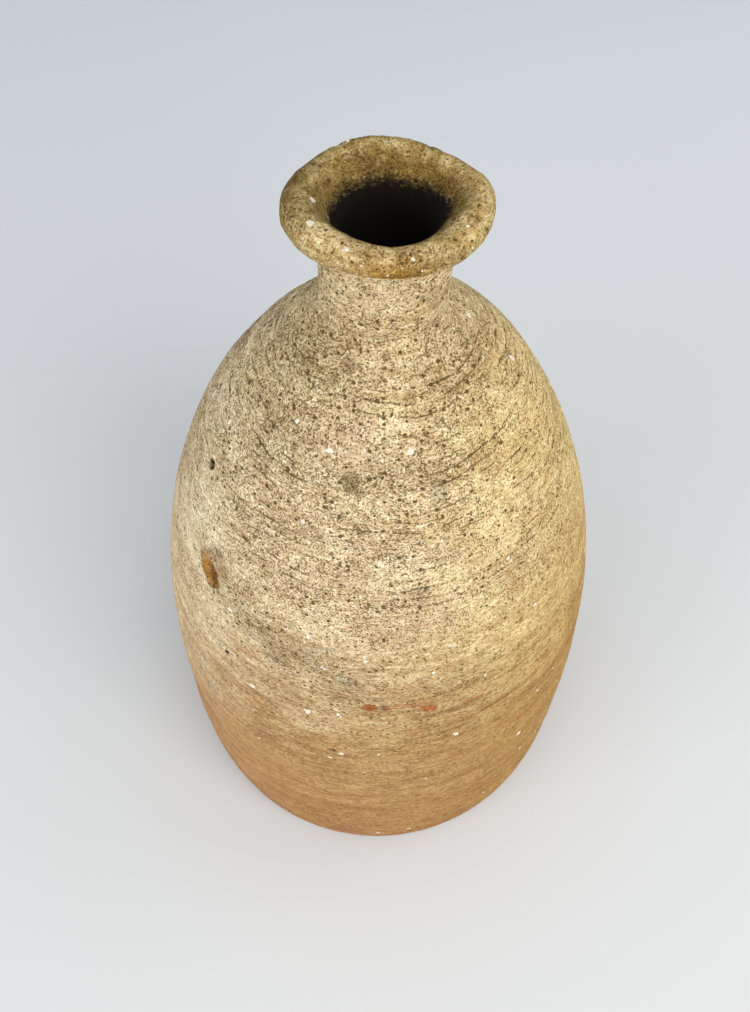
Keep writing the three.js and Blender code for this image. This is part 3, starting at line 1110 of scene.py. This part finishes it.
class ClayRing:
    """What the operators of the six clay pieces share."""

    bl_options = {"REGISTER", "UNDO"}
    capped = False
    wear = 0.4

    def execute(self, context):
        pot = Pot.get(context)
        piece = clay_piece(context, self.piece_name, pot.runs(*self.stretches), self.capped)
        clay = fired_clay(self.piece_name + "_clay", context.scene.clay_colours, self.wear)
        piece.data.materials.append(clay)
        stand_in_for(piece, self.node_name, self.slot_name)
        return {"FINISHED"}


class SAKE_OT_foot(ClayRing, bpy.types.Operator):
    """Make the base slab with its rounded foot edge, string-cut underside and inner floor"""

    bl_idname = "sake_bottle.foot"
    bl_label = "Foot"
    node_name = "base_slab"
    piece_name = "foot"
    slot_name = "foot_clay"
    stretches = (("underside", "foot_outside"), ("floor", "floor"))
    capped = True
    wear = 0.55


class SAKE_OT_lower_body(ClayRing, bpy.types.Operator):
    """Make the first wall ring, with the orange blush and fine scraped lines"""

    bl_idname = "sake_bottle.lower_body"
    bl_label = "Lower body"
    node_name = "lower_wall"
    piece_name = "lower_body"
    slot_name = "lower_wall_clay"
    stretches = both_sides("lower")


class SAKE_OT_belly(ClayRing, bpy.types.Operator):
    """Make the second wall ring, with its chip and throwing lines"""

    bl_idname = "sake_bottle.belly"
    bl_label = "Belly"
    node_name = "belly_wall"
    piece_name = "belly"
    slot_name = "belly_clay"
    stretches = both_sides("belly")


class SAKE_OT_shoulder(ClayRing, bpy.types.Operator):
    """Make the closed-in shoulder, pitted and scored with grooves"""

    bl_idname = "sake_bottle.shoulder_dome"
    bl_label = "Shoulder"
    node_name = "shoulder"
    piece_name = "shoulder_dome"
    slot_name = "shoulder_clay"
    stretches = both_sides("shoulder")


class SAKE_OT_neck(ClayRing, bpy.types.Operator):
    """Make the short neck"""

    bl_idname = "sake_bottle.neck"
    bl_label = "Neck"
    node_name = "neck_collar"
    piece_name = "neck"
    slot_name = "neck_clay"
    stretches = both_sides("neck")


class SAKE_OT_mouth(ClayRing, bpy.types.Operator):
    """Make the folded, lumpy rim and its funnel throat"""

    bl_idname = "sake_bottle.mouth_rim"
    bl_label = "Rim"
    node_name = "rim"
    piece_name = "mouth_rim"
    slot_name = "rim_clay"
    stretches = (("rim", "rim"),)


# Single grains that stand out: degrees from the front, height, and size across.
BODY_GRAINS = [
    (-39.3, 159.9, 1.6),
    (-69.0, 149.1, 1.7),
    (-20.9, 157.5, 2.0),
    (-18.0, 115.9, 1.8),
    (-17.3, 89.3, 2.4),
    (44.4, 112.1, 1.5),
    (19.8, 77.2, 2.0),
    (41.5, 53.8, 1.9),
    (-32.0, 118.5, 1.4),
    (-9.6, 90.0, 1.9),
    (150.0, 120.0, 2.0),
    (-140.0, 88.0, 1.8),
    (100.0, 140.0, 1.6),
    (-110.0, 60.0, 2.1),
]
SMALL_BODY_GRAINS = 110
LIP_GRAINS = 46
LIP_GRAIN_REACH = 0.53  # share of the way over the lip and into the throat
CRUSHED = 1.6 * MM  # a grain larger than this is a cluster of small ones
CLUSTER = 5


def pebble(mesh, centre, outward, size, random):
    """Adds one angular grain, flattened along the surface and sunk in the clay."""
    turn = outward.to_track_quat("Z", "Y").to_matrix().to_4x4()
    spin = Matrix.Rotation(random.uniform(0, 6.283), 4, "Z")
    shape = Matrix.Diagonal((size / 2, size / 2 * random.uniform(0.4, 0.85), size / 2 * 0.55, 1))
    place = Matrix.Translation(centre - outward * size * 0.10) @ turn @ spin @ shape
    made = bmesh.ops.create_icosphere(mesh, subdivisions=2, radius=1.0, matrix=place)["verts"]
    for vertex in made:
        away = vertex.co - centre
        vertex.co = vertex.co + away * random.uniform(-0.42, 0.12)


class SAKE_OT_grains(bpy.types.Operator):
    """Set the larger white feldspar grains into the body and the lip"""

    bl_idname = "sake_bottle.grains"
    bl_label = "White grains"
    bl_options = {"REGISTER", "UNDO"}

    def scatter(self, context, name, spots, slot):
        pot = Pot.get(context)
        random = np.random.default_rng(context.scene.clay_surface.grain_seed + len(name))
        mesh = bmesh.new()
        for row, column, size in spots:
            centre = Vector(pot.points[row, column])
            outward = Vector(pot.normals[row, column])
            crushed = size > CRUSHED
            for _ in range(CLUSTER if crushed else 1):
                aside = Vector(random.uniform(-0.3, 0.3, 3)) * size if crushed else Vector()
                aside = aside - outward * aside.dot(outward)
                pebble(mesh, centre + aside, outward, size * 0.58 if crushed else size, random)
        data = bpy.data.meshes.new(name)
        mesh.to_mesh(data)
        mesh.free()
        data.polygons.foreach_set("use_smooth", np.ones(len(data.polygons), bool))
        data.materials.append(feldspar(name + "_feldspar", context.scene.clay_colours))
        piece = added(name, data)
        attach(piece, "root")

    def execute(self, context):
        pot = Pot.get(context)
        around = pot.points.shape[1]
        random = np.random.default_rng(context.scene.clay_surface.grain_seed)
        first, last = pot.starts["foot_outside"], pot.starts["neck_outside"]
        levels = pot.points[first:last, 0, 2]
        body = []
        for degrees, height, size in BODY_GRAINS:
            row = first + int(np.argmin(np.abs(levels - height * MM)))
            body.append((row, round((degrees - 90) / 360 * around) % around, size * MM))
        for _ in range(SMALL_BODY_GRAINS):
            row = int(random.integers(first + 10, last))
            size = 0.28 + 0.75 * random.random() ** 4
            body.append((row, int(random.integers(around)), size * MM))
        lip = []
        rim = pot.starts["rim"]
        lip_first = rim + 8
        lip_last = rim + int((pot.starts["neck_inside"] - rim) * LIP_GRAIN_REACH)
        for _ in range(LIP_GRAINS):
            size = 0.3 + 0.8 * random.random() ** 3
            lip.append((int(random.integers(lip_first, lip_last)), int(random.integers(around)), size * MM))
        self.scatter(context, "body_grains", body, "belly_clay")
        self.scatter(context, "lip_grains", lip, "rim_clay")
        return {"FINISHED"}


def soft_light(name, energy, size, place, colour_rgb):
    """A square soft light that looks at the middle of the bottle."""
    data = bpy.data.lights.new(name, "AREA")
    data.energy = energy
    data.shape = "SQUARE"
    data.size = size
    data.color = colour_rgb
    lamp = added(name, data)
    lamp.location = place
    aim = Vector((0, 0, 0.11)) - Vector(place)
    lamp.rotation_euler = aim.to_track_quat("-Z", "Y").to_euler()


class SAKE_OT_stage(bpy.types.Operator):
    """Lay the plain pale floor, and set the soft lights and the camera"""

    bl_idname = "sake_bottle.stage"
    bl_label = "Stage"
    bl_options = {"REGISTER", "UNDO"}

    def floor(self, context):
        mesh = bmesh.new()
        bmesh.ops.create_grid(mesh, x_segments=40, y_segments=40, size=2.5)
        data = bpy.data.meshes.new("studio_floor")
        mesh.to_mesh(data)
        mesh.free()
        material, tree, shader, position = new_material("studio_floor")
        colours = context.scene.clay_colours
        drift = times(tree, cloud(tree, position, 300 * MM), 0.05)
        behind = between(tree, plus(tree, axes(tree, position)["Y"], drift), 0.05, 0.45)
        plain = mixed(tree, behind, colours.floor, colours.floor_far)
        tree.links.new(plain, shader.inputs["Base Color"])
        shader.inputs["Roughness"].default_value = 0.75
        data.materials.append(material)
        floor = added("studio_floor", data)

    def camera(self, context):
        studio = context.scene.studio
        data = bpy.data.cameras.new("camera")
        data.lens = studio.lens_mm
        camera = added("camera", data)
        camera.location = (studio.camera_side, -studio.camera_distance, studio.camera_height)
        camera.rotation_euler = (studio.camera_tilt, 0, 0)
        context.scene.camera = camera

    def execute(self, context):
        studio = context.scene.studio
        self.floor(context)
        self.camera(context)
        soft_light("key_light", studio.key_power, 0.9, (0.58, -0.80, 0.82), (1.0, 0.985, 0.95))
        soft_light("side_light", studio.side_power, 0.6, (0.85, 0.15, 0.40), (1.0, 0.99, 0.96))
        soft_light("fill_light", studio.fill_power, 0.9, (-0.80, -0.75, 0.42), (0.97, 0.985, 1.0))
        world = bpy.data.worlds.new("studio")
        world.use_nodes = True
        sky = world.node_tree.nodes["Background"]
        sky.inputs["Color"].default_value = (0.90, 0.95, 1.0, 1.0)
        sky.inputs["Strength"].default_value = studio.sky_strength
        context.scene.world = world
        context.scene.view_settings.view_transform = "Standard"
        return {"FINISHED"}


class SAKE_PT_panel(bpy.types.Panel):
    """Lists the steps that build the bottle"""

    bl_idname = "SAKE_PT_panel"
    bl_label = "Sake Bottle"
    bl_space_type = "VIEW_3D"
    bl_region_type = "UI"
    bl_category = "Sake Bottle"

    def draw(self, context):
        for step in STEPS:
            self.layout.operator(step.bl_idname)
        for settings in SETTINGS:
            box = self.layout.box()
            group = getattr(context.scene, settings)
            for name in group.__annotations__:
                box.prop(group, name)


SETTINGS = {
    "bottle_sizes": BottleSizes,
    "clay_surface": ClaySurface,
    "clay_colours": ClayColours,
    "studio": StudioSettings,
}
STEPS = (
    SAKE_OT_foot,
    SAKE_OT_lower_body,
    SAKE_OT_belly,
    SAKE_OT_shoulder,
    SAKE_OT_neck,
    SAKE_OT_mouth,
    SAKE_OT_grains,
    SAKE_OT_stage,
)


def register():
    for group in SETTINGS.values():
        bpy.utils.register_class(group)
    for name, group in SETTINGS.items():
        setattr(bpy.types.Scene, name, PointerProperty(type=group))
    for step in STEPS:
        bpy.utils.register_class(step)
    bpy.utils.register_class(SAKE_PT_panel)


def unregister():
    bpy.utils.unregister_class(SAKE_PT_panel)
    for step in reversed(STEPS):
        bpy.utils.unregister_class(step)
    for name, group in reversed(SETTINGS.items()):
        delattr(bpy.types.Scene, name)
        bpy.utils.unregister_class(group)


def main():
    register()
    for step in STEPS:
        getattr(bpy.ops.sake_bottle, step.bl_idname.split(".")[1])()


if __name__ == "__main__":
    main()
